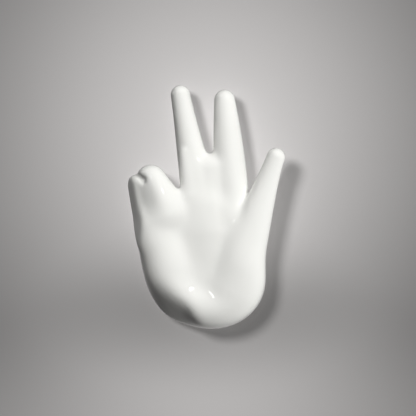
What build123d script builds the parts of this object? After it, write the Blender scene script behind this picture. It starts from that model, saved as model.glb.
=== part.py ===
from build123d import *

import os
from collections import namedtuple

# A wall-hung ceramic hand, in millimetres. The wall is the plane y = 0 with +Y into the wall, so the
# palm faces -Y. +Z is up, and +X is the viewer's right. The origin is on the wall, midway between
# the two screw holes of the wall clip. Depths are measured outwards from the flat back of the hand.

# Casting
SHELL_WALL = 4.5
BACK_WALL = 6.0

# Round limbs, bodies of revolution: where the axis starts and ends, and the radius at even steps along it
Limb = namedtuple("Limb", "root tip radii")

INDEX = Limb(root=(20.0, 13.5, 16.0), tip=(13.8, 12.5, 116.5), radii=(16.2, 12.2, 10.8, 7.4))
MIDDLE = Limb(root=(2.6, 13.5, 16.0), tip=(-17.2, 12.5, 120.5), radii=(15.0, 12.3, 9.6, 6.8))
THUMB = Limb(root=(20.2, 16.8, -10.0), tip=(49.3, 22.6, 76.8), radii=(18.4, 14.8, 10.0, 6.4))
RING = Limb(root=(-24.5, 18.5, 30.0), tip=(-37.6, 19.0, 61.0), radii=(15.2, 13.2, 10.8))
LITTLE = Limb(root=(-34.5, 18.0, 18.0), tip=(-46.2, 14.6, 56.4), radii=(13.5, 11.8, 8.8))
WEB = Limb(root=(7.0, 13.5, 26.0), tip=(4.6, 12.8, 66.4), radii=(15.0, 10.8))
EDGE = Limb(root=(-17.0, 12.0, -17.0), tip=(-34.0, 17.0, 26.0), radii=(15.6, 18.6, 15.2))

# Palm: a flattened pod along its own axis, round below and above
PALM_LOWER = (1.0, 6.0, -6.5)
PALM_UPPER = (-1.4, 6.0, 23.0)
PALM_HALF_WIDTH = 41.0
PALM_HALF_DEPTH = 23.0
PALM_DROP = 35.2
PALM_RISE = 29.0

# Rim: a round roll below the hollow of the palm, along half an oval
RIM_CENTRE = (1.4, 15.0, -2.0)
RIM_HALF_WIDTH = 26.8
RIM_DROP = 24.8
RIM_RADIUS = 16.6

# Flank: a flat slope across the lower left of the palm
FLANK_POINT = (-18.7, 30.4, -20.9)
FLANK_OUTWARD = (-0.46, 0.70, -0.54)

# Pour opening in the back, and the block bedded in it
OPENING_WIDTH = 38.0
OPENING_HEIGHT = 64.0
OPENING_ABOVE_CLIP = 2.0
OPENING_CORNER = 9.0
EPOXY_GAP = 1.0
BLOCK_THICK = 10.0

# Pair of Z-clips
SHEET = 2.0
CLIP_PLAY = 0.5
CLIP_WIDTH = 30.0
CLIP_BEND = 1.0
WALL_CLIP_BELOW = 8.0
WALL_CLIP_STEP_Z = 7.0
HOOK_HEIGHT = 12.0
TONGUE_END_PLAY = 1.0
HAND_CLIP_PLATE = 15.0

# Screws
WALL_HOLE_PITCH = 20.0
WALL_HOLE_RADIUS = 2.25
WALL_SINK_RADIUS = 3.6
CLIP_SCREW_PITCH = 18.0
CLIP_SCREW_EDGE = 7.0
SCREW_RADIUS = 1.75
SCREW_HEAD_RADIUS = 3.5
SCREW_HEAD_HEIGHT = 1.7
SCREW_LENGTH = 11.0
SCREW_POINT = 3.0
SCREW_FIT = 0.15
RECESS_WIDTH = 0.8
RECESS_LENGTH = 3.6
RECESS_DEPTH = 1.1

# Felt pads on the back
PAD_RADIUS = 6.0
PAD_THICK = 2.0
PAD_LEFT_X = -28.0
PAD_RIGHT_X = 30.0
PAD_UPPER_Z = 30.0
PAD_LOWER_Z = -14.0

# Worked out from the sizes above
BACK_Y = -PAD_THICK
CLIP_OFFSET = SHEET + CLIP_PLAY
HOOK_TOP_Z = WALL_CLIP_STEP_Z + SHEET + HOOK_HEIGHT
HAND_CLIP_Y = -CLIP_PLAY / 2
HAND_CLIP_TOP_Z = HOOK_TOP_Z + SHEET + HAND_CLIP_PLATE
BLOCK_REAR_Y = HAND_CLIP_Y - CLIP_OFFSET - SHEET
CLIP_SCREW_Z = HAND_CLIP_TOP_Z - CLIP_SCREW_EDGE
OPENING_MID_Z = HAND_CLIP_TOP_Z + OPENING_ABOVE_CLIP - OPENING_HEIGHT / 2
REACH = 300.0
OVERCUT = 1.0


def place(point):
    """A point given by x, depth from the back of the hand, and z."""
    return Vector(point[0], BACK_Y - point[1], point[2])


def along(root, tip):
    """Plane at the root whose normal runs to the tip, and the distance between them."""
    axis = place(tip) - place(root)
    return Plane(place(root), x_dir=Vector(0, 1, 0).cross(axis), z_dir=axis), axis.length


def limb(form, inset=0.0):
    """A round tapering limb with a dome at each end."""
    plane, length = along(form.root, form.tip)
    radii = [radius - inset for radius in form.radii]
    step = length / (len(radii) - 1)
    side = [(radius, number * step) for number, radius in enumerate(radii)]
    outline = Spline(*side, tangents=[(0, 1), (0, 1)])
    root_dome = CenterArc((0, 0), radii[0], -90, 90)
    tip_dome = CenterArc((0, length), radii[-1], 0, 90)
    axis_line = Line((0, length + radii[-1]), (0, -radii[0]))
    profile = make_face(Plane.XZ * Curve([root_dome, outline, tip_dome, axis_line]))
    return plane * revolve(profile, Axis.Z)


def palm(inset=0.0):
    """The palm as a flattened pod."""
    plane, length = along(PALM_LOWER, PALM_UPPER)
    width = PALM_HALF_WIDTH - inset
    drop = PALM_DROP - inset
    rise = PALM_RISE - inset
    lower = EllipticalCenterArc((0, 0), width, drop, start_angle=-90, arc_size=90)
    side = Line((width, 0), (width, length))
    upper = EllipticalCenterArc((0, length), width, rise, start_angle=0, arc_size=90)
    axis_line = Line((0, length + rise), (0, -drop))
    profile = make_face(Plane.XZ * Curve([lower, side, upper, axis_line]))
    flat = (PALM_HALF_DEPTH - inset) / width
    return plane * scale(revolve(profile, Axis.Z), by=(1, flat, 1))


def rim(inset=0.0):
    """The roll that joins the ball of the thumb to the edge of the hand, with a dome at each end."""
    plane = Plane(place(RIM_CENTRE), x_dir=(1, 0, 0), z_dir=(0, -1, 0))
    path = plane * EllipticalCenterArc((0, 0), RIM_HALF_WIDTH, RIM_DROP, start_angle=180, arc_size=180)
    radius = RIM_RADIUS - inset
    roll = sweep(Plane(path @ 0, z_dir=path % 0) * Circle(radius), path=path)
    for end in (0, 1):
        roll = roll + Pos(path @ end) * Sphere(radius)
    return roll


def before_flank(inset=0.0):
    """Everything in front of the flat slope at the lower left."""
    outward = (place(FLANK_OUTWARD) - place((0, 0, 0))).normalized()
    plane = Plane(place(FLANK_POINT) - outward * inset, z_dir=outward)
    return plane * Box(2 * REACH, 2 * REACH, REACH, align=(Align.CENTER, Align.CENTER, Align.MIN))


def hand_form(inset=0.0):
    """The whole hand, or with an inset the hollow inside it, before the back is cut flat."""
    form = palm(inset) + rim(inset)
    for part in (EDGE, THUMB, INDEX, MIDDLE, WEB, RING, LITTLE):
        form = form + limb(part, inset)
    return form - before_flank(inset)


def behind(y):
    """Everything on the wall side of a plane across y."""
    return Pos(0, y + REACH / 2, 0) * Box(2 * REACH, REACH, 2 * REACH)


def opening_prism(gap, rear_y, depth):
    """The pour opening's outline less a gap all round, run outwards from a plane across y."""
    outline = RectangleRounded(OPENING_WIDTH - 2 * gap, OPENING_HEIGHT - 2 * gap, OPENING_CORNER - gap)
    plane = Plane((0, rear_y, OPENING_MID_Z), x_dir=(1, 0, 0), z_dir=(0, -1, 0))
    return extrude(plane * outline, depth)


def hand_shell():
    """Hollow casting with a flat back and a pour opening through the back wall."""
    outer = hand_form() - behind(BACK_Y)
    hollow = hand_form(SHELL_WALL) - behind(BACK_Y - BACK_WALL)
    opening = opening_prism(0.0, BACK_Y + OVERCUT, BACK_WALL + 2 * OVERCUT)
    return outer - hollow - opening


def hanging_block():
    """Wooden block that fills the opening and takes the clip screws."""
    block = opening_prism(EPOXY_GAP, BLOCK_REAR_Y, BLOCK_THICK)
    for side in (-1, 1):
        block = block - clip_screw_body(side)
    return block


def epoxy_bed():
    """Ring of epoxy between the block and the edge of the opening."""
    depth = BACK_WALL - (BACK_Y - BLOCK_REAR_Y)
    return opening_prism(0.0, BLOCK_REAR_Y, depth) - opening_prism(EPOXY_GAP, BLOCK_REAR_Y, depth)


def z_clip(rear_y, bottom_z, step_z, top_z):
    """Z-section strip: a lower leg whose rear face is at rear_y, a step, and an upper leg in front."""
    front_y = rear_y - CLIP_OFFSET
    corners = [
        (rear_y, bottom_z),
        (rear_y, step_z + SHEET),
        (front_y, step_z + SHEET),
        (front_y, top_z),
        (front_y - SHEET, top_z),
        (front_y - SHEET, step_z),
        (rear_y - SHEET, step_z),
        (rear_y - SHEET, bottom_z),
    ]
    profile = make_face(Plane.YZ * Polyline(*corners, close=True))
    strip = extrude(Pos(-CLIP_WIDTH / 2, 0, 0) * profile, CLIP_WIDTH, dir=(1, 0, 0))
    bends = [
        edge for edge in strip.edges().filter_by(Axis.X)
        if abs(edge.center().Y - rear_y) < 0.01 and abs(edge.center().Z - step_z - SHEET) < 0.01
        or abs(edge.center().Y - front_y + SHEET) < 0.01 and abs(edge.center().Z - step_z) < 0.01
    ]
    return fillet(bends, CLIP_BEND)


def along_y(x, z, from_y, to_y, from_radius, to_radius):
    """A cylinder or cone along Y between two planes."""
    plane = Plane((x, from_y, z), x_dir=(1, 0, 0), z_dir=(0, -1, 0))
    height = from_y - to_y
    if from_radius == to_radius:
        return plane * Cylinder(from_radius, height, align=(Align.CENTER, Align.CENTER, Align.MIN))
    return plane * Cone(from_radius, to_radius, height, align=(Align.CENTER, Align.CENTER, Align.MIN))


def wall_clip():
    """Z-clip that stays on the wall, with two countersunk holes."""
    clip = z_clip(0.0, -WALL_CLIP_BELOW, WALL_CLIP_STEP_Z, HOOK_TOP_Z)
    sink = WALL_SINK_RADIUS - WALL_HOLE_RADIUS
    for side in (-1, 1):
        x = side * WALL_HOLE_PITCH / 2
        clip = clip - along_y(x, 0.0, OVERCUT, -SHEET - OVERCUT, WALL_HOLE_RADIUS, WALL_HOLE_RADIUS)
        clip = clip - along_y(x, 0.0, sink - SHEET, -SHEET, WALL_HOLE_RADIUS, WALL_SINK_RADIUS)
    return clip


def hand_clip():
    """Z-clip on the block, whose tongue drops behind the wall clip's upper leg."""
    tongue_end = WALL_CLIP_STEP_Z + SHEET + TONGUE_END_PLAY
    clip = z_clip(HAND_CLIP_Y, tongue_end, HOOK_TOP_Z, HAND_CLIP_TOP_Z)
    for side in (-1, 1):
        clip = clip - clip_screw_body(side, SCREW_FIT)
    return clip


def clip_screw_body(side, fit=0.0):
    """Countersunk wood screw without its recess, enlarged by a fit where it makes a hole."""
    x = side * CLIP_SCREW_PITCH / 2
    head_y = BLOCK_REAR_Y + SHEET
    neck_y = head_y - SCREW_HEAD_HEIGHT
    point_y = head_y - SCREW_LENGTH
    head = along_y(x, CLIP_SCREW_Z, head_y, neck_y, SCREW_HEAD_RADIUS + fit, SCREW_RADIUS + fit)
    shank = along_y(x, CLIP_SCREW_Z, neck_y, point_y + SCREW_POINT, SCREW_RADIUS + fit, SCREW_RADIUS + fit)
    point = along_y(x, CLIP_SCREW_Z, point_y + SCREW_POINT, point_y, SCREW_RADIUS + fit, SCREW_RADIUS / 4)
    return head + shank + point


def clip_screw(side):
    """Countersunk wood screw with a cross recess."""
    x = side * CLIP_SCREW_PITCH / 2
    head_y = BLOCK_REAR_Y + SHEET
    screw = clip_screw_body(side)
    for size in ((RECESS_LENGTH, RECESS_WIDTH), (RECESS_WIDTH, RECESS_LENGTH)):
        screw = screw - Pos(x, head_y, CLIP_SCREW_Z) * Box(size[0], 2 * RECESS_DEPTH, size[1])
    return screw


def felt_pad(x, z):
    """Round felt pad between the back of the hand and the wall."""
    return along_y(x, z, 0.0, BACK_Y, PAD_RADIUS, PAD_RADIUS)


os.makedirs("parts", exist_ok=True)
nodes = {
    "hand_shell": hand_shell(),
    "hanging_block": hanging_block(),
    "epoxy_bed": epoxy_bed(),
    "hand_clip": hand_clip(),
    "wall_clip": wall_clip(),
    "clip_screw_left": clip_screw(-1),
    "clip_screw_right": clip_screw(1),
    "felt_pad_upper_left": felt_pad(PAD_LEFT_X, PAD_UPPER_Z),
    "felt_pad_upper_right": felt_pad(PAD_RIGHT_X, PAD_UPPER_Z),
    "felt_pad_lower_left": felt_pad(PAD_LEFT_X, PAD_LOWER_Z),
    "felt_pad_lower_right": felt_pad(PAD_RIGHT_X, PAD_LOWER_Z),
}
for name, shape in nodes.items():
    export_step(shape, f"parts/{name}.step")
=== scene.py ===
import math
from collections import namedtuple

import bpy
import numpy as np
from bpy.props import FloatProperty, FloatVectorProperty, PointerProperty
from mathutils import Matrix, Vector


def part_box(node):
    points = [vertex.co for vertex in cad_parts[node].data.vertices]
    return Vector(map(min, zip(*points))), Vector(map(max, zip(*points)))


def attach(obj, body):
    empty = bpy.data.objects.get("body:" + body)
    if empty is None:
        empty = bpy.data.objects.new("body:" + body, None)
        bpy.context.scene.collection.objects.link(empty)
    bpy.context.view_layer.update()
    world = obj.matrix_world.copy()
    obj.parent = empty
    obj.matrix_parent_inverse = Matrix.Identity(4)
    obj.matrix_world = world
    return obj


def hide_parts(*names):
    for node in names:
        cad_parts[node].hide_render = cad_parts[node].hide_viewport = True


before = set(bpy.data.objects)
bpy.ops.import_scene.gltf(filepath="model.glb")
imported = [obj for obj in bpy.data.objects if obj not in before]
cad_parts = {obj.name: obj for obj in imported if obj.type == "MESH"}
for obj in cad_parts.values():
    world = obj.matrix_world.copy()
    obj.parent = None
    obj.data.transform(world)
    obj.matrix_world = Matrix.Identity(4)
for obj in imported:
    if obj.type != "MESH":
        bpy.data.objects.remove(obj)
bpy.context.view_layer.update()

bl_info = {
    "name": "Wall-hung ceramic hand",
    "version": (1, 0, 0),
    "blender": (4, 5, 0),
    "location": "View3D > Sidebar > Hand",
    "description": "Glazed hand, its hanging hardware and a plain wall",
    "category": "Object",
}

MM = 0.001
HAND_BODY = "hand"
PHOTO_PIXELS = 416
PIXEL_SIZE = 0.7 * MM

# Places taken from the frame
SHELL_LOW, SHELL_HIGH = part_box("hand_shell")
BACK_Y = SHELL_HIGH.y
EPOXY_LOW, EPOXY_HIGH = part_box("epoxy_bed")
PAD_NODES = sorted(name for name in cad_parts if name.startswith("felt_pad"))
SCREW_NODES = sorted(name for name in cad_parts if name.startswith("clip_screw"))
CLIP_NODES = ["hand_clip", "wall_clip"]
FITTING_NODES = [*SCREW_NODES, *CLIP_NODES]

# Forms of the hand in millimetres, at x, depth from the flat back, and height. A limb has a radius at
# even steps from its root to its tip, a pod is a flattened round form, and a rim is a long ring. A cut
# takes off what lies in front of a plane, and a pair of cuts what lies in front of both.
Limb = namedtuple("Limb", "root tip radii")
Pod = namedtuple("Pod", "lower upper half_width half_depth drop rise")
Rim = namedtuple("Rim", "lower upper half_width drop rise radius top_radius")
Cut = namedtuple("Cut", "point outward")

BODY = Pod((1.0, 6.0, -6.5), (-1.4, 6.0, 22.0), 38.9, 18.0, 34.4, 29.0)
RIM = Rim((0.4, 16.0, -2.0), (-2.6, 16.0, 26.0), 27.0, 26.0, 18.0, 12.0, 3.0)
EDGE = Limb((-17.0, 8.0, -20.0), (-36.0, 15.5, 28.0), (13.8, 14.6, 10.0))
THUMB = Limb((18.0, 14.0, -12.0), (49.3, 23.0, 76.8), (16.6, 15.0, 9.9, 6.4))
INDEX = Limb((21.9, 13.0, 16.0), (13.7, 12.5, 117.0), (11.4, 11.7, 10.4, 7.2))
MIDDLE = Limb((2.2, 13.0, 16.0), (-17.2, 12.5, 120.5), (11.0, 11.9, 9.4, 6.8))
MIDDLE_SIDE = Limb((-9.8, 18.8, 52.0), (-14.2, 18.4, 80.0), (5.6, 5.2, 3.6))
WEB = Limb((7.0, 13.0, 26.0), (4.6, 12.6, 68.4), (12.0, 10.6))
RING = Limb((-28.0, 18.5, 39.0), (-37.6, 19.0, 61.0), (12.6, 12.8, 10.6))
LITTLE = Limb((-38.2, 16.0, 21.0), (-46.6, 15.5, 56.2), (8.6, 9.6, 8.8))
FOLD_GROOVE = Limb((-48.0, 20.6, 65.4), (-43.8, 27.4, 60.8), (0.5, 2.4))
FLANK = Cut((-18.5, 27.5, -21.0), (-0.42, 0.62, -0.66))
FLANK_END = Cut((-7.5, 26.0, -33.0), (-0.85, 0.3, -0.4))
FOLD_SIDE = Cut((-49.7, 21.7, 54.0), (-0.9, 0.4, -0.135))
FOLD_END = Cut((-46.7, 21.7, 34.0), (-0.9, 0.4, 0.06))
FOLD_FRONT = Cut((-36.0, 30.6, 50.0), (-0.52, 0.85, -0.08))

# How widely each form runs into the rest, in millimetres. A pair of values is for the side, where the
# outline keeps its notches, and for the front, where the forms run together.
SIDE_DEPTH = 14.0
FRONT_DEPTH = 27.0
KNUCKLE_BLEND = (10.0, 16.0)
THUMB_BLEND = (8.0, 12.0)
FOLDED_BLEND = (5.0, 16.0)
FOLD_BLEND = (1.0, 6.0)
NOTCH_BLEND = (1.0, 5.0)
CLEFT_BLEND = (11.0, 14.0)
FINGER_BLEND = 3.0
MIDDLE_SIDE_BLEND = 4.0
WEB_BLEND = 8.0
RIM_BLEND = 10.0
EDGE_BLEND = 12.0
FOLD_GROOVE_BLEND = 4.0
FLANK_BLEND = 9.0
FLANK_END_BLEND = 5.0
FOLD_SIDE_BLEND = 3.0
FOLD_END_BLEND = 1.5
FOLD_FRONT_BLEND = 4.0
BACK_EDGE_BLEND = 5.0

# The casting's mesh: room round the solid's box, the field outside it, how often the skin is set on the
# field, how much coarser the hollow is, and the fill, in millimetres, where the glaze's greying in
# creases, pooled glaze and painted crease shade, is full
FIELD_MARGIN = 3.0 * MM
FIELD_OUTSIDE = -10.0
SETTLE_STEPS = 2
HOLLOW_COARSER = 2.5
POOL_SHADE_DEPTH = 3.0

# Floors that keep the division in round_distance away from zero
LEAST_REACH = 0.01
LEAST_SLOPE = 0.0001

# The pour opening in the flat back
OPENING_CORNER = 9.0 * MM
OPENING_OVERCUT = 1.0 * MM
OPENING_CORNER_STEPS = 12
MERGE_DISTANCE = 0.01 * MM

# The felt pads: mesh steps, how much thinner the edge is, and the size and level of the stray fibres
PAD_SIDES = 72
PAD_LAYERS = 5
PAD_RINGS = 16
PAD_EDGE_THINNER = 0.5
FUZZ_SIZE = 0.5 * MM
FUZZ_LEVEL = 0.6

# The wall and the lamps, in metres and watts. A painted light is an oval of paler paint on the wall, a
# painted pool of light, or of darker paint, painted shade, where its level is below 0.
Lamp = namedtuple("Lamp", "name place size power gloss")
PaintedLight = namedtuple("PaintedLight", "x z half_width half_height level")

VIEW_CENTRE = Vector((2.1, -14.0, 41.4)) * MM
WALL_HALF = 1.5
WALL_GAP = 0.2 * MM
# Two soft painted pools of light on the wall, and a band of painted shade between them
WALL_PAINTED_LIGHT = (
    PaintedLight(0.009, 0.089, 0.234, 0.249, 1.0),
    PaintedLight(0.009, -0.117, 0.258, 0.108, 0.66),
    PaintedLight(0.0, -0.028, 0.13, 0.068, -0.38),
)
# Paint level away from the ovals, painted shade that darkens the wall towards its sides
WALL_PAINTED_SHADE = 0.305
LAMP_TARGET = (0.0, 0.0, 0.04)
LAMP_COLOUR = (1.0, 1.0, 0.98)
HAND_LAMPS = (
    Lamp("main", (0.75, -1.30, 0.59), 1.1, 26.8, False),
    Lamp("low", (1.18, 0.32, -0.99), 1.0, 13.8, False),
    Lamp("fill", (-0.66, -0.79, 1.27), 1.1, 6.2, False),
    Lamp("spark_left", (-0.52, -1.43, 0.66), 0.15, 0.7, True),
    Lamp("spark_right", (0.83, -1.25, 0.71), 0.15, 0.7, True),
)
REAR_LAMP = Lamp("rear", (0.0, 1.7, 0.2), 0.8, 16.0, False)
ROOM_LAMP = Lamp("room", (0.0, 1.5, 0.04), 2.6, 15.0, True)
SHADOW_LAMP = Lamp("shadow", (-0.68, -1.5, 0.62), 0.45, 18.8, False)
WALL_LAMP = Lamp("wash", (0.0, -1.6, 0.1), 0.5, 9.2, False)


class HandSettings(bpy.types.PropertyGroup):
    """Sizes and colours of the hand and its hardware."""

    cell: FloatProperty(
        name="Cell", description="Size of a surface cell", default=0.8 * MM, unit="LENGTH")
    shell_wall: FloatProperty(
        name="Shell wall", description="Thickness of the casting", default=4.5 * MM, unit="LENGTH")
    back_wall: FloatProperty(
        name="Back wall", description="Thickness of the flat back", default=6.0 * MM, unit="LENGTH")
    glaze: FloatVectorProperty(
        name="Glaze", description="Colour of the glaze", default=(0.88, 0.88, 0.862), size=3,
        subtype="COLOR")
    bisque: FloatVectorProperty(
        name="Bisque", description="Colour of the bare fired clay", default=(0.66, 0.62, 0.55), size=3,
        subtype="COLOR")
    pad_edge: FloatProperty(
        name="Pad edge", description="Width of a felt pad's soft edge", default=0.9 * MM, unit="LENGTH")
    pad_fuzz: FloatProperty(
        name="Pad fuzz", description="How far the felt's fibres stand out", default=0.12 * MM,
        unit="LENGTH")
    felt: FloatVectorProperty(
        name="Felt", description="Colour of the felt pads", default=(0.2, 0.2, 0.195), size=3,
        subtype="COLOR")
    beech: FloatVectorProperty(
        name="Beech", description="Colour of the block", default=(0.62, 0.42, 0.26), size=3,
        subtype="COLOR")
    epoxy: FloatVectorProperty(
        name="Epoxy", description="Colour of the cured epoxy", default=(0.64, 0.5, 0.27), size=3,
        subtype="COLOR")
    zinc: FloatVectorProperty(
        name="Zinc", description="Colour of the plated clips", default=(0.64, 0.65, 0.67), size=3,
        subtype="COLOR")
    screw_film: FloatVectorProperty(
        name="Screw film", description="Colour of the screws' yellow film", default=(0.74, 0.58, 0.3),
        size=3, subtype="COLOR")


class StageSettings(bpy.types.PropertyGroup):
    """The wall, the lamps and the camera."""

    wall: FloatVectorProperty(
        name="Wall", description="Colour of the wall", default=(0.65, 0.633, 0.64), size=3,
        subtype="COLOR")
    ambient: FloatVectorProperty(
        name="Ambient", description="Light from all round", default=(0.006, 0.006, 0.005), size=3,
        subtype="COLOR")
    room: FloatVectorProperty(
        name="Room", description="Colour of the room round the wall", default=(0.36, 0.35, 0.348),
        size=3, subtype="COLOR")
    camera_distance: FloatProperty(
        name="Camera distance", description="From the camera to the hand", default=1.6, unit="LENGTH")
    view_width: FloatProperty(
        name="View width", description="Width seen at the hand", default=PHOTO_PIXELS * PIXEL_SIZE,
        unit="LENGTH")


class Wire:
    """A node socket in Python expressions: each operator adds the Math node that it needs."""

    def __init__(self, tree, socket=None):
        self.tree = tree
        self.socket = socket

    def node(self, kind, settings=None, sockets=None, output=0):
        """Any other node: its settings first, then the values or links of its sockets."""
        node = self.tree.nodes.new(kind)
        for name, value in (settings or {}).items():
            if name == "stops":
                set_stops(node.color_ramp, value)
            else:
                setattr(node, name, value)
        for name, value in (sockets or {}).items():
            for item in value if isinstance(value, list) else [value]:
                self.plug(node.inputs[name], item)
        return Wire(self.tree, node.outputs[output]) if node.outputs else node

    def plug(self, socket, value):
        if isinstance(value, Wire):
            self.tree.links.new(value.socket, socket)
        else:
            socket.default_value = value

    def output(self, name):
        """Another output of the same node."""
        return Wire(self.tree, self.socket.node.outputs[name])

    def math(self, operation, *values):
        sockets = dict(enumerate((self, *values)))
        return self.node("ShaderNodeMath", {"operation": operation}, sockets)

    def vector(self, operation, *values, output="Vector"):
        sockets = dict(enumerate((self, *values)))
        return self.node("ShaderNodeVectorMath", {"operation": operation}, sockets, output)

    def times(self, direction):
        """A vector, or a wire of one, scaled by this."""
        sockets = {0: direction, "Scale": self}
        return self.node("ShaderNodeVectorMath", {"operation": "SCALE"}, sockets)

    def clamp(self, low=0.0, high=1.0):
        return self.node("ShaderNodeClamp", None, {"Value": self, "Min": low, "Max": high})

    def ramp(self, low, high, to_low=0.0, to_high=1.0):
        """Smooth rise from one value to another as this goes from low to high."""
        sockets = {"Value": self, "From Min": low, "From Max": high}
        sockets.update({"To Min": to_low, "To Max": to_high})
        return self.node("ShaderNodeMapRange", {"interpolation_type": "SMOOTHSTEP"}, sockets)

    def mix(self, first, second):
        """Colour from first to second as this goes from 0 to 1."""
        sockets = {0: self, 6: first, 7: second}
        return self.node("ShaderNodeMix", {"data_type": "RGBA"}, sockets, 2)

    def __add__(self, other):
        return self.math("ADD", other)

    def __sub__(self, other):
        return self.math("SUBTRACT", other)

    def __mul__(self, other):
        return self.math("MULTIPLY", other)

    def __truediv__(self, other):
        return self.math("DIVIDE", other)

    def __rsub__(self, other):
        return (self * -1.0) + other

    def __rtruediv__(self, other):
        return self.math("POWER", -1.0) * other

    __radd__ = __add__
    __rmul__ = __mul__


def set_stops(ramp, stops):
    """Gives a colour ramp its stops: a position and a colour each."""
    while len(ramp.elements) > 1:
        ramp.elements.remove(ramp.elements[-1])
    ramp.elements[0].position, ramp.elements[0].color = stops[0]
    for position, colour in stops[1:]:
        ramp.elements.new(position).color = colour


def rgba(colour):
    return (*colour, 1.0)


def polynomial(value, factors):
    """Polynomial of a wire, with the highest power first."""
    total = value * factors[0] if len(factors) > 1 else factors[0]
    for factor in factors[1:-1]:
        total = (total + factor) * value
    return total + factors[-1] if len(factors) > 1 else total


def limb_distance(point, limb):
    """Distance from the skin round a row of balls from root to tip, in millimetres."""
    root, tip = Vector(limb.root), Vector(limb.tip)
    run = tip - root
    steps = np.linspace(0.0, 1.0, len(limb.radii))
    factors = np.polyfit(steps, limb.radii, len(limb.radii) - 1)
    slopes = np.polyder(factors)
    from_root = point.vector("SUBTRACT", root)
    along = from_root.vector("DOT_PRODUCT", run / run.length_squared, output="Value")
    away = from_root.vector("SUBTRACT", along.times(run)).vector("LENGTH", output="Value")
    # Where the radius changes, the nearest ball lies a little towards the thicker end
    slope = polynomial(along.clamp(), [float(value) / run.length_squared for value in slopes])
    along = (along + away * slope).clamp()
    radius = polynomial(along, [float(value) for value in factors])
    return from_root.vector("SUBTRACT", along.times(run)).vector("LENGTH", output="Value") - radius


def round_distance(offsets, radii):
    """Distance from an ellipse or an ellipsoid, from the offsets along its axes and its radii."""
    ratios = [offset / radius for offset, radius in zip(offsets, radii)]
    slopes = [ratio / radius for ratio, radius in zip(ratios, radii)]
    reach = length(ratios).math("MAXIMUM", LEAST_REACH)
    return reach * (reach - 1.0) / length(slopes).math("MAXIMUM", LEAST_SLOPE)


def length(parts):
    """Length of a vector, from its parts."""
    total = parts[0] * parts[0]
    for part in parts[1:]:
        total = total + part * part
    return total.math("SQRT")


def pod_offsets(x, z, form):
    """Offsets across, below and above an upright form with a round end below and above."""
    lower, upper = Vector(form.lower), Vector(form.upper)
    lean = (upper.x - lower.x) / (upper.z - lower.z)
    across = x - (z - lower.z) * lean - lower.x
    return across, (lower.z - z).math("MAXIMUM", 0.0), (z - upper.z).math("MAXIMUM", 0.0)


def pod_distance(x, depth, z, pod):
    """Distance from a flattened pod, in millimetres."""
    offsets = (*pod_offsets(x, z, pod), depth - pod.lower[1])
    return round_distance(offsets, (pod.half_width, pod.drop, pod.rise, pod.half_depth))


def rim_distance(x, depth, z, rim):
    """Distance from a long ring that gets thinner towards its top, in millimetres."""
    outward = round_distance(pod_offsets(x, z, rim), (rim.half_width, rim.drop, rim.rise))
    radius = z.ramp(rim.lower[2], rim.upper[2] + rim.rise, rim.radius, rim.top_radius)
    return length((outward, depth - rim.lower[1])) - radius


def cut_distance(point, cut):
    """Distance in front of a flat cut, in millimetres."""
    outward = Vector(cut.outward).normalized()
    from_plane = point.vector("SUBTRACT", Vector(cut.point))
    return from_plane.vector("DOT_PRODUCT", outward, output="Value")


def join_forms(first, second, blend):
    return first.math("SMOOTH_MIN", second, blend)


def trim_form(form, cut, blend):
    return form.math("SMOOTH_MAX", cut, blend)


def hand_distance(position):
    """Distance from the skin, how deep its creases are filled, and depth from the back, in millimetres."""
    parts = position.node("ShaderNodeSeparateXYZ", None, {0: position})
    x, y, z = (parts.output(axis) / MM for axis in "XYZ")
    depth = BACK_Y / MM - y
    point = x.node("ShaderNodeCombineXYZ", None, {0: x, 1: depth, 2: z})
    body, rim = pod_distance(x, depth, z, BODY), rim_distance(x, depth, z, RIM)
    limbs = (EDGE, THUMB, INDEX, MIDDLE, MIDDLE_SIDE, WEB, RING, LITTLE, FOLD_GROOVE)
    edge, thumb, index, middle, middle_side, web, ring, little, groove = (
        limb_distance(point, limb) for limb in limbs)
    flank, flank_end, fold_side, fold_end, fold_front = (
        cut_distance(point, cut) for cut in (FLANK, FLANK_END, FOLD_SIDE, FOLD_END, FOLD_FRONT))
    blends = (KNUCKLE_BLEND, THUMB_BLEND, FOLDED_BLEND, FOLD_BLEND, NOTCH_BLEND, CLEFT_BLEND)
    knuckle, root, folded, fold, notch, cleft = (
        depth.ramp(SIDE_DEPTH, FRONT_DEPTH, *blend) for blend in blends)
    palm = join_forms(join_forms(body, rim, RIM_BLEND), edge, EDGE_BLEND)
    palm = trim_form(palm, join_forms(flank, flank_end, FLANK_END_BLEND), FLANK_BLEND)
    middle = join_forms(middle, middle_side, MIDDLE_SIDE_BLEND)
    fingers = join_forms(join_forms(index, middle, FINGER_BLEND), web, WEB_BLEND)
    skin = join_forms(palm, fingers, knuckle)
    skin = join_forms(skin, join_forms(palm, thumb, root), notch)
    bent = trim_form(join_forms(ring, little, fold), fold_front, FOLD_FRONT_BLEND)
    skin = join_forms(skin, join_forms(palm, bent, folded), cleft)
    skin = trim_form(skin, join_forms(fold_side, fold_end, FOLD_END_BLEND), FOLD_SIDE_BLEND)
    skin = trim_form(skin, groove * -1.0, FOLD_GROOVE_BLEND)
    bare = body
    for form in (rim, edge, thumb, index, middle, web, ring, little):
        bare = bare.math("MINIMUM", form)
    return trim_form(skin, depth * -1.0, BACK_EDGE_BLEND), bare - skin, depth


def volume_mesh(wire, density, low, high, cell):
    """Mesh of the surface where a field over a box is zero, positive inside."""
    sockets = {"Density": density, "Background": FIELD_OUTSIDE, "Min": low, "Max": high}
    for axis, size in zip("XYZ", high - low):
        sockets["Resolution " + axis] = size / cell
    volume = wire.node("GeometryNodeVolumeCube", None, sockets)
    return wire.node("GeometryNodeVolumeToMesh", None, {"Volume": volume, "Threshold": 0.0})


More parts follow.
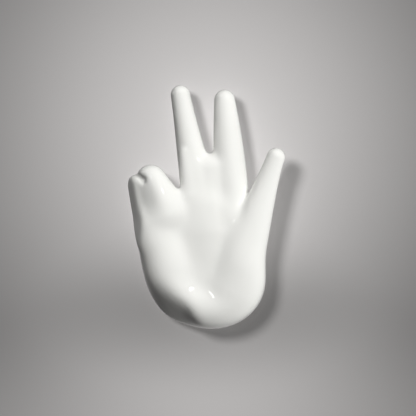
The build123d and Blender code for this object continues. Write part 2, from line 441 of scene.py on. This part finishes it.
def opening_cutter(wire):
    """Solid of the pour opening, from behind the back wall to just inside it."""
    size = EPOXY_HIGH - EPOXY_LOW
    middle = (EPOXY_HIGH + EPOXY_LOW) / 2
    outline = wire.node(
        "GeometryNodeCurvePrimitiveQuadrilateral", None, {"Width": size.x, "Height": size.z})
    outline = wire.node(
        "GeometryNodeFilletCurve", {"mode": "POLY"},
        {"Curve": outline, "Radius": OPENING_CORNER, "Count": OPENING_CORNER_STEPS})
    sheet = wire.node("GeometryNodeFillCurve", {"mode": "NGONS"}, {"Curve": outline})
    depth = (BACK_Y - EPOXY_LOW.y) + 2 * OPENING_OVERCUT
    block = wire.node(
        "GeometryNodeExtrudeMesh", None, {"Mesh": sheet, "Offset Scale": depth, "Individual": False})
    floor = wire.node("GeometryNodeFlipFaces", None, {"Mesh": sheet})
    solid = wire.node("GeometryNodeJoinGeometry", None, {"Geometry": [block, floor]})
    solid = wire.node(
        "GeometryNodeMergeByDistance", None, {"Geometry": solid, "Distance": MERGE_DISTANCE})
    return wire.node("GeometryNodeTransform", None, {
        "Geometry": solid,
        "Translation": (middle.x, BACK_Y + OPENING_OVERCUT, middle.z),
        "Rotation": (math.pi / 2, 0.0, 0.0),
    })


def new_tree(name, inputs):
    """A Geometry Nodes tree with named inputs and one geometry output, and wires from the inputs."""
    tree = bpy.data.node_groups.new(name, "GeometryNodeTree")
    tree.interface.new_socket("Geometry", in_out="OUTPUT", socket_type="NodeSocketGeometry")
    for label in inputs:
        tree.interface.new_socket(label, in_out="INPUT", socket_type="NodeSocketFloat")
    group = tree.nodes.new("NodeGroupInput")
    return tree, [Wire(tree, group.outputs[label]) for label in inputs]


def end_tree(geometry, material):
    """Realizes, gives the material and ends the tree."""
    geometry = geometry.node("GeometryNodeRealizeInstances", None, {"Geometry": geometry})
    sockets = {"Geometry": geometry, "Material": material}
    geometry = geometry.node("GeometryNodeSetMaterial", None, sockets)
    geometry.node("NodeGroupOutput", None, {"Geometry": geometry})


def grow(tree, name, values):
    """Runs a tree on an empty mesh and returns the result as a plain object at the origin."""
    holder = bpy.data.objects.new(name + "_source", bpy.data.meshes.new(name + "_source"))
    bpy.context.scene.collection.objects.link(holder)
    modifier = holder.modifiers.new(name, "NODES")
    modifier.node_group = tree
    inputs = [item for item in tree.interface.items_tree if item.in_out == "INPUT"]
    for item, value in zip(inputs, values):
        modifier[item.identifier] = value
    graph = bpy.context.evaluated_depsgraph_get()
    mesh = bpy.data.meshes.new_from_object(holder.evaluated_get(graph), depsgraph=graph)
    if not mesh.polygons:
        raise RuntimeError(name + " came out empty")
    bpy.data.objects.remove(holder)
    mesh.name = name
    piece = bpy.data.objects.new(name, mesh)
    bpy.context.scene.collection.objects.link(piece)
    return piece


def new_material(name):
    """An empty material, a wire to build it with and its Object coordinates."""
    material = bpy.data.materials.new(name)
    material.use_nodes = True
    material.node_tree.nodes.clear()
    wire = Wire(material.node_tree)
    return material, wire, wire.node("ShaderNodeTexCoord", None, None, "Object")


def finish_material(wire, sockets):
    """Ends a material in a Principled shader."""
    shader = wire.node("ShaderNodeBsdfPrincipled", None, sockets)
    wire.node("ShaderNodeOutputMaterial", None, {"Surface": shader})


def noise(coords, scale, detail=3.0, roughness=0.5, stretch=None):
    """Noise from 0 to 1, whose features are about scale metres across."""
    if stretch:
        coords = coords.vector("MULTIPLY", stretch)
    sockets = {"Vector": coords, "Scale": 1.0 / scale, "Detail": detail, "Roughness": roughness}
    return coords.node("ShaderNodeTexNoise", None, sockets)


def bump(height, distance, strength=1.0):
    sockets = {"Height": height, "Distance": distance, "Strength": strength}
    return height.node("ShaderNodeBump", None, sockets)


def glaze_material(settings):
    """Glossy white glaze, a little greyer in creases, where the glaze pools and painted shade darkens
    them, over bare clay on the flat back.
    """
    material, wire, coords = new_material("white_glaze")
    # Fill of the creases, which greys the glaze there as pooled glaze and as painted crease shade
    pool_shade = wire.node("ShaderNodeAttribute", {"attribute_name": "glaze_pool"}, None, "Fac")
    parts = wire.node("ShaderNodeSeparateXYZ", None, {0: coords})
    wander = noise(coords, 6 * MM)
    edge_y = (wander - 0.5) * (0.5 * MM) + parts.output("Y")
    bare = edge_y.ramp(BACK_Y - 0.45 * MM, BACK_Y - 0.25 * MM)
    cloud = noise(coords, 18 * MM)
    white = Vector(settings.glaze)
    # Greyer with random cloud, and in creases, where pooled glaze and painted shade darken the white
    colour = (cloud * 0.5 + pool_shade * 0.5).mix(rgba(white), rgba(white * 0.955))
    grit = noise(coords, 0.5 * MM, detail=4.0)
    clay = Vector(settings.bisque)
    clay_colour = grit.ramp(0.3, 0.7).mix(rgba(clay * 0.86), rgba(clay))
    colour = bare.mix(colour, clay_colour)
    glazed = 1.0 - bare
    ripple = noise(coords, 9 * MM, detail=1.0) * 0.6 + noise(coords, 2.2 * MM, detail=1.0) * 0.05
    finish_material(wire, {
        "Base Color": colour,
        "Roughness": bare * 0.55 + cloud * 0.05 + 0.26,
        "Coat Weight": glazed,
        "Coat Roughness": 0.035,
        "Coat IOR": 1.55,
        "Specular IOR Level": 0.0,
        "Normal": bump(ripple + grit * bare * 0.2, 0.12 * MM),
    })
    return material


def beech_material(settings):
    """Sanded beech: fine upright grain with short dark flecks."""
    material, wire, coords = new_material("beech")
    grain = noise(coords, 1.6 * MM, detail=5.0, stretch=(1.0, 1.0, 0.06))
    bands = noise(coords, 7 * MM, detail=2.0, stretch=(1.0, 1.0, 0.12))
    flecks = noise(coords, 0.55 * MM, detail=1.0, stretch=(1.0, 1.0, 0.22)).ramp(0.6, 0.7)
    wood = Vector(settings.beech)
    colour = (grain * 0.6 + bands * 0.4).ramp(0.35, 0.65).mix(rgba(wood * 0.7), rgba(wood))
    colour = (flecks * 0.55).mix(colour, rgba(wood * 0.4))
    finish_material(wire, {
        "Base Color": colour,
        "Roughness": grain * 0.2 + 0.52,
        "Normal": bump(grain - flecks * 0.6, 0.15 * MM),
    })
    return material


def epoxy_material(settings):
    """Cured amber epoxy with a few trapped bubbles."""
    material, wire, coords = new_material("cured_epoxy")
    cloud = noise(coords, 4 * MM)
    sockets = {"Vector": coords, "Scale": 1.0 / (1.7 * MM)}
    bubbles = wire.node("ShaderNodeTexVoronoi", None, sockets, "Distance").ramp(0.24, 0.12)
    amber = Vector(settings.epoxy)
    colour = cloud.ramp(0.3, 0.7).mix(rgba(amber * 0.72), rgba(amber))
    colour = (bubbles * 0.5).mix(colour, rgba(amber.lerp(Vector((0.9, 0.88, 0.8)), 0.6)))
    finish_material(wire, {
        "Base Color": colour,
        "Roughness": cloud * 0.15 + 0.16,
        "Coat Weight": 0.4,
        "Normal": bump(cloud * 0.5 + bubbles * 0.4, 0.2 * MM),
    })
    return material


def zinc_material(settings):
    """Zinc plating on rolled strip: fine lines along its width under a cloudy bloom."""
    material, wire, coords = new_material("zinc_plate")
    lines = noise(coords, 0.3 * MM, detail=3.0, stretch=(0.03, 1.0, 1.0))
    bloom = noise(coords, 4.5 * MM, detail=4.0, roughness=0.6)
    zinc = Vector(settings.zinc)
    colour = (bloom * 0.7 + lines * 0.3).ramp(0.35, 0.65).mix(rgba(zinc * 0.8), rgba(zinc))
    finish_material(wire, {
        "Base Color": colour,
        "Metallic": 1.0,
        "Roughness": lines * 0.14 + bloom * 0.2 + 0.2,
        "Normal": bump(lines, 0.04 * MM),
    })
    return material


def passivated_material(settings):
    """Yellow film on plated steel, with faint green and rose where it is thicker."""
    material, wire, coords = new_material("yellow_passivated")
    film = noise(coords, 1.6 * MM, detail=2.0)
    gold = Vector(settings.screw_film)
    rose = Vector((gold.x, gold.y * 0.8, gold.z * 1.15))
    green = Vector((gold.x * 0.84, gold.y, gold.z * 0.9))
    stops = [(0.34, rgba(rose)), (0.48, rgba(gold)), (0.66, rgba(green))]
    wear = noise(coords, 0.5 * MM, detail=4.0)
    finish_material(wire, {
        "Base Color": wire.node("ShaderNodeValToRGB", {"stops": stops}, {"Fac": film}),
        "Metallic": 1.0,
        "Roughness": wear * 0.2 + 0.2,
        "Normal": bump(wear, 0.05 * MM),
    })
    return material


def felt_material(settings):
    """Pressed wool felt: matted fibres in two shades."""
    material, wire, coords = new_material("pressed_felt")
    fibres = noise(coords, 0.32 * MM, detail=6.0, roughness=0.75)
    tufts = noise(coords, 1.8 * MM, detail=3.0)
    wool = Vector(settings.felt)
    colour = (fibres * 0.7 + tufts * 0.3).ramp(0.36, 0.64).mix(rgba(wool * 0.55), rgba(wool * 1.3))
    finish_material(wire, {
        "Base Color": colour,
        "Roughness": fibres * 0.08 + 0.9,
        "Sheen Weight": 0.3,
        "Normal": bump(fibres + tufts * 0.5, 0.3 * MM),
    })
    return material


class HAND_OT_shell(bpy.types.Operator):
    """Glazed hollow casting of the hand"""

    bl_idname = "hand.shell"
    bl_label = "Hand shell"

    def execute(self, context):
        settings = context.scene.hand_settings
        tree, (cell, wall, back) = new_tree("Hand casting", ("Cell", "Shell wall", "Back wall"))
        wire = Wire(tree)
        position = wire.node("GeometryNodeInputPosition")
        distance, pool_shade, depth = hand_distance(position)
        margin = Vector((FIELD_MARGIN, FIELD_MARGIN, FIELD_MARGIN))
        low, high = SHELL_LOW - margin, SHELL_HIGH + margin
        skin = volume_mesh(wire, distance * -1.0, low, high, cell)
        normal = wire.node("GeometryNodeInputNormal")
        for _ in range(SETTLE_STEPS):
            shift = (distance * -MM).times(normal)
            skin = wire.node("GeometryNodeSetPosition", None, {"Geometry": skin, "Offset": shift})
        inside = (distance + wall / MM).math("MAXIMUM", back / MM - depth)
        hollow = volume_mesh(wire, inside * -1.0, low, high, cell * HOLLOW_COARSER)
        shell = wire.node(
            "GeometryNodeMeshBoolean", {"operation": "DIFFERENCE", "solver": "MANIFOLD"},
            {"Mesh 1": skin, "Mesh 2": [hollow, opening_cutter(wire)]})
        # Crease fill, kept for the glaze's greying in creases: pooled glaze and painted crease shade
        shell = wire.node(
            "GeometryNodeStoreNamedAttribute", {"data_type": "FLOAT", "domain": "POINT"},
            {"Geometry": shell, "Name": "glaze_pool", "Value": (pool_shade / POOL_SHADE_DEPTH).clamp()})
        shell = wire.node("GeometryNodeSetShadeSmooth", None, {"Geometry": shell})
        end_tree(shell, glaze_material(settings))
        piece = grow(tree, "hand_casting", (settings.cell, settings.shell_wall, settings.back_wall))
        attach(piece, HAND_BODY)
        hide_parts("hand_shell")
        return {"FINISHED"}


class HAND_OT_pads(bpy.types.Operator):
    """Four round felt pads with soft edges between the hand and the wall"""

    bl_idname = "hand.pads"
    bl_label = "Felt pads"

    def execute(self, context):
        settings = context.scene.hand_settings
        boxes = [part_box(name) for name in PAD_NODES]
        centres = [(low + high) / 2 for low, high in boxes]
        low = Vector([min(centre[axis] for centre in centres) for axis in range(3)])
        high = Vector([max(centre[axis] for centre in centres) for axis in range(3)])
        size = boxes[0][1] - boxes[0][0]
        labels = ("Radius", "Thickness", "Edge", "Fuzz", "Across", "Up")
        tree, (radius, thickness, edge, fuzz, across, up) = new_tree("Felt pads", labels)
        wire = Wire(tree)
        disc = wire.node("GeometryNodeMeshCylinder", {"fill_type": "TRIANGLE_FAN"}, {
            "Vertices": PAD_SIDES,
            "Side Segments": PAD_LAYERS,
            "Fill Segments": PAD_RINGS,
            "Radius": radius,
            "Depth": thickness,
        })
        position = wire.node("GeometryNodeInputPosition")
        parts = wire.node("ShaderNodeSeparateXYZ", None, {0: position})
        x, y, z = (parts.output(axis) for axis in "XYZ")
        over = ((length((x, y)) - radius + edge) / edge).clamp()
        thinned = z * (over * over * -PAD_EDGE_THINNER + 1.0)
        soft = wire.node("ShaderNodeCombineXYZ", None, {0: x, 1: y, 2: thinned})
        disc = wire.node("GeometryNodeSetPosition", None, {"Geometry": disc, "Position": soft})
        sockets = {"Size X": across, "Size Y": up, "Vertices X": 2, "Vertices Y": 2}
        corners = wire.node("GeometryNodeMeshGrid", None, sockets)
        pads = wire.node("GeometryNodeInstanceOnPoints", None, {"Points": corners, "Instance": disc})
        pads = wire.node("GeometryNodeRealizeInstances", None, {"Geometry": pads})
        pads = wire.node("GeometryNodeTransform", None, {
            "Geometry": pads,
            "Translation": (low + high) / 2,
            "Rotation": (math.pi / 2, 0.0, 0.0),
        })
        stray = noise(position, FUZZ_SIZE, detail=3.0) - FUZZ_LEVEL
        normal = wire.node("GeometryNodeInputNormal")
        shift = (stray * fuzz).times(normal)
        pads = wire.node("GeometryNodeSetPosition", None, {"Geometry": pads, "Offset": shift})
        pads = wire.node("GeometryNodeSetShadeSmooth", None, {"Geometry": pads})
        end_tree(pads, felt_material(settings))
        apart = high - low
        values = (size.x / 2, size.y, settings.pad_edge, settings.pad_fuzz, apart.x, apart.z)
        piece = grow(tree, "felt_pads", values)
        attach(piece, HAND_BODY)
        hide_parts(*PAD_NODES)
        return {"FINISHED"}


class HAND_OT_hardware(bpy.types.Operator):
    """Finishes of the block, the epoxy, the clips and the screws"""

    bl_idname = "hand.hardware"
    bl_label = "Hanging hardware"

    def execute(self, context):
        settings = context.scene.hand_settings
        finishes = {
            beech_material: ["hanging_block"],
            epoxy_material: ["epoxy_bed"],
            zinc_material: CLIP_NODES,
            passivated_material: SCREW_NODES,
        }
        for make_material, names in finishes.items():
            material = make_material(settings)
            for name in names:
                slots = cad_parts[name].data.materials
                slots.clear()
                slots.append(material)
        return {"FINISHED"}


def wall_material(settings):
    """Grey paint with two soft painted pools of light and a band of painted shade between them, clear from
    behind.
    """
    material, wire, coords = new_material("wall_paint")
    parts = wire.node("ShaderNodeSeparateXYZ", None, {0: coords})
    x, z = parts.output("X"), parts.output("Z")
    level = noise(coords, 1.2 * MM) * 0.02
    # Each oval adds a painted pool of light, or painted shade where its level is below 0
    for painted_light in WALL_PAINTED_LIGHT:
        away = length(((x - painted_light.x) / painted_light.half_width, (z - painted_light.z) / painted_light.half_height))
        level = level + away.ramp(1.0, 0.0) * painted_light.level
    paint = Vector(settings.wall)
    # Paint from painted shade away from the ovals to full paint where the painted light is strongest
    colour = level.clamp().mix(rgba(paint * WALL_PAINTED_SHADE), rgba(paint))
    matt = {"Base Color": colour, "Roughness": 1.0, "Specular IOR Level": 0.0}
    shader = wire.node("ShaderNodeBsdfPrincipled", None, matt)
    clear = wire.node("ShaderNodeBsdfTransparent")
    behind = wire.node("ShaderNodeNewGeometry", None, None, "Backfacing")
    surface = wire.node("ShaderNodeMixShader", None, {0: behind, 1: shader, 2: clear})
    wire.node("ShaderNodeOutputMaterial", None, {"Surface": surface})
    return material


def make_wall(settings):
    """Square of wall behind the hand, lit by its own lamps."""
    mesh = bpy.data.meshes.new("wall")
    sides = ((-1, -1), (1, -1), (1, 1), (-1, 1))
    corners = [(x * WALL_HALF, 0.0, z * WALL_HALF) for x, z in sides]
    mesh.from_pydata(corners, [], [(0, 1, 2, 3)])
    mesh.materials.append(wall_material(settings))
    wall = bpy.data.objects.new("wall", mesh)
    wall.location.y = WALL_GAP
    wall.visible_diffuse = False
    wall.visible_glossy = False
    wall.visible_shadow = False
    bpy.context.scene.collection.objects.link(wall)
    return wall


def make_lamp(lamp, receivers, blockers=None):
    """Soft lamp that points at the hand and lights one group of objects."""
    data = bpy.data.lights.new(lamp.name, "AREA")
    data.shape = "DISK"
    data.size = lamp.size
    data.energy = lamp.power
    data.color = LAMP_COLOUR
    item = bpy.data.objects.new(lamp.name, data)
    item.location = lamp.place
    aim = Vector(LAMP_TARGET) - Vector(lamp.place)
    item.rotation_euler = aim.to_track_quat("-Z", "Y").to_euler()
    item.visible_glossy = lamp.gloss
    item.light_linking.receiver_collection = receivers
    if blockers:
        item.light_linking.blocker_collection = blockers
    bpy.context.scene.collection.objects.link(item)


def make_group(name, objects):
    group = bpy.data.collections.new(name)
    for item in objects:
        group.objects.link(item)
    return group


def make_world(settings):
    """Dim light from all round, and a pale room for the camera and in reflections."""
    world = bpy.data.worlds.new("studio")
    world.use_nodes = True
    world.node_tree.nodes.clear()
    wire = Wire(world.node_tree)
    rays = wire.node("ShaderNodeLightPath")
    shown = rays.output("Is Camera Ray")
    for kind in ("Is Glossy Ray", "Is Transmission Ray"):
        shown = shown.math("MAXIMUM", rays.output(kind))
    colour = shown.mix(rgba(settings.ambient), rgba(settings.room))
    shader = wire.node("ShaderNodeBackground", None, {"Color": colour})
    wire.node("ShaderNodeOutputWorld", None, {"Surface": shader})
    return world


class HAND_OT_stage(bpy.types.Operator):
    """Plain wall, soft studio lamps and the camera"""

    bl_idname = "hand.stage"
    bl_label = "Stage"

    def execute(self, context):
        scene = context.scene
        settings = scene.stage_settings
        scene.view_settings.view_transform = "Standard"
        pieces = [item for item in scene.objects if item.type == "MESH"]
        fittings = [item for item in pieces if item.name in FITTING_NODES]
        wall = make_wall(settings)
        lit_pieces = make_group("lit_pieces", pieces)
        lit_wall = make_group("lit_wall", [wall])
        for lamp in (*HAND_LAMPS, REAR_LAMP):
            make_lamp(lamp, lit_pieces)
        make_lamp(ROOM_LAMP, make_group("lit_fittings", fittings))
        make_lamp(SHADOW_LAMP, lit_wall)
        make_lamp(WALL_LAMP, lit_wall, lit_wall)
        scene.world = make_world(settings)
        camera = bpy.data.cameras.new("camera")
        camera.lens = camera.sensor_width * settings.camera_distance / settings.view_width
        item = bpy.data.objects.new("camera", camera)
        item.location = (VIEW_CENTRE.x, VIEW_CENTRE.y - settings.camera_distance, VIEW_CENTRE.z)
        item.rotation_euler = (math.pi / 2, 0.0, 0.0)
        scene.collection.objects.link(item)
        scene.camera = item
        return {"FINISHED"}


class HAND_PT_panel(bpy.types.Panel):
    """Buttons and settings of the hand"""

    bl_idname = "HAND_PT_panel"
    bl_label = "Ceramic hand"
    bl_space_type = "VIEW_3D"
    bl_region_type = "UI"
    bl_category = "Hand"

    def draw(self, context):
        for group in (context.scene.hand_settings, context.scene.stage_settings):
            for name in group.__annotations__:
                self.layout.prop(group, name)
        for operator in OPERATORS:
            self.layout.operator(operator.bl_idname)


OPERATORS = (HAND_OT_shell, HAND_OT_pads, HAND_OT_hardware, HAND_OT_stage)
CLASSES = (HandSettings, StageSettings, *OPERATORS, HAND_PT_panel)


def register():
    for item in CLASSES:
        bpy.utils.register_class(item)
    bpy.types.Scene.hand_settings = PointerProperty(type=HandSettings)
    bpy.types.Scene.stage_settings = PointerProperty(type=StageSettings)


def unregister():
    del bpy.types.Scene.stage_settings
    del bpy.types.Scene.hand_settings
    for item in reversed(CLASSES):
        bpy.utils.unregister_class(item)


def main():
    register()
    bpy.ops.hand.shell()
    bpy.ops.hand.pads()
    bpy.ops.hand.hardware()
    bpy.ops.hand.stage()


if __name__ == "__main__":
    main()
